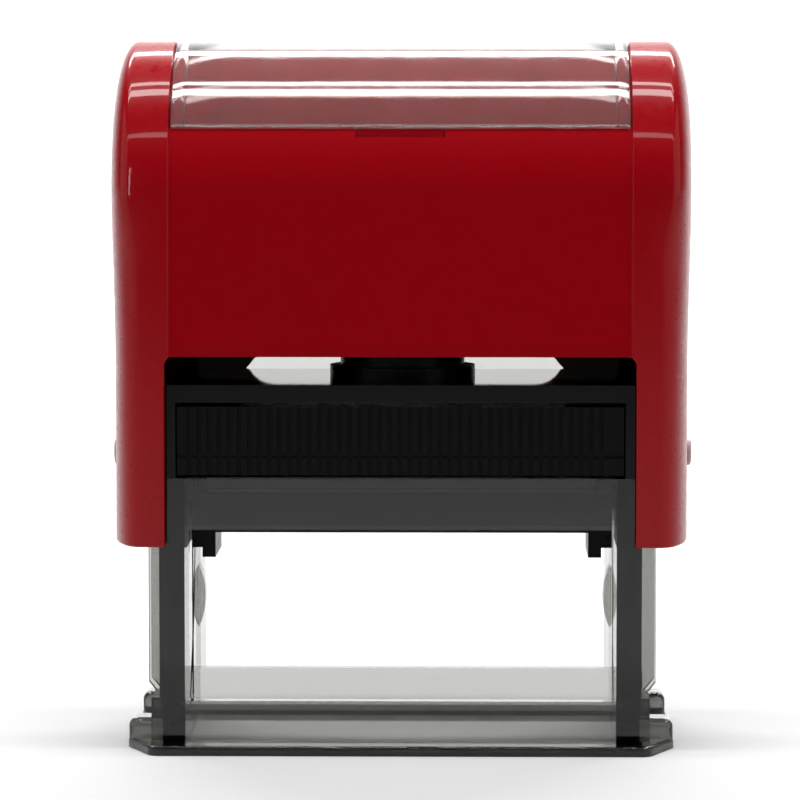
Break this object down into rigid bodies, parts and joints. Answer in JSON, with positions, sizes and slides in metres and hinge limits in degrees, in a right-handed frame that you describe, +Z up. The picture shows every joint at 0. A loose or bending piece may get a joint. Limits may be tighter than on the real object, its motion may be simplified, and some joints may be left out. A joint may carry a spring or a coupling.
{
  "type": "self-inking stamp",
  "caption": "Self-inking hand stamp: red arched cap sliding on a smoke-clear frame, black ink cartridge, and a die block that flips over as the cap is pressed.",
  "frame": {"origin": "centre of the frame's underside, on the surface that the stamp stands on", "axes": "+Z up along the cap's stroke, +X to the right along the width, -Y towards the front, where the ink cartridge pulls out"},
  "size_m": [0.071, 0.0398, 0.085],
  "materials": {
    "red_cap": "glossy moulded ABS, satin centre panel",
    "black_plastic": "semi-gloss moulded",
    "smoke_clear": "smoke-tinted transparent, polished",
    "clear_window": "clear, polished",
    "spring_steel": "drawn wire",
    "pin_steel": "ground",
    "ink_felt": "ink-soaked felt",
    "foam": "closed-cell foam",
    "die_rubber": "laser-cut rubber",
    "button_plastic": "satin moulded"
  },
  "bodies": {
    "frame": {"base_frame": "smoke_clear", "pad_housing": "black_plastic", "spring_cup": "black_plastic", "return_spring": "spring_steel"},
    "cap": {"cap_shell": "red_cap", "yoke": "black_plastic", "axle_pin_left": "pin_steel", "axle_pin_right": "pin_steel"},
    "window": {"index_window": "clear_window"},
    "button_left": {"lock_button_left": "button_plastic"},
    "button_right": {"lock_button_right": "button_plastic"},
    "cartridge": {"pad_tray": "black_plastic", "ink_pad": "ink_felt"},
    "die": {"turning_block": "black_plastic", "die_cushion": "foam", "rubber_die": "die_rubber", "cam_pin_left": "pin_steel", "cam_pin_right": "pin_steel"}
  },
  "joints": [
    {"name": "cap_press", "type": "slide", "parent": "frame", "child": "cap", "axis": [0, 0, -1], "range_m": [0, 0.0225], "stiffness_N_per_m": 600, "springref_m": -0.015, "deforming": ["return_spring"]},
    {"name": "die_turn", "type": "hinge", "parent": "cap", "child": "die", "pos_m": [0, 0, 0.0275], "axis": [-1, 0, 0], "range_deg": [0, 180]},
    {"name": "cartridge_pull", "type": "slide", "parent": "frame", "child": "cartridge", "axis": [0, -1, 0], "range_m": [0, 0.033]},
    {"name": "window_lift", "type": "slide", "parent": "cap", "child": "window", "axis": [0, 0, 1], "range_m": [0, 0.012]},
    {"name": "button_left_press", "type": "slide", "parent": "cap", "child": "button_left", "axis": [1, 0, 0], "range_m": [0, 0.0008], "stiffness_N_per_m": 400, "springref_m": -0.001},
    {"name": "button_right_press", "type": "slide", "parent": "cap", "child": "button_right", "axis": [-1, 0, 0], "range_m": [0, 0.0008], "stiffness_N_per_m": 400, "springref_m": -0.001}
  ],
  "couplings": [
    {"joint": "die_turn", "follows": "cap_press", "rad_per_m": 139.63}
  ]
}
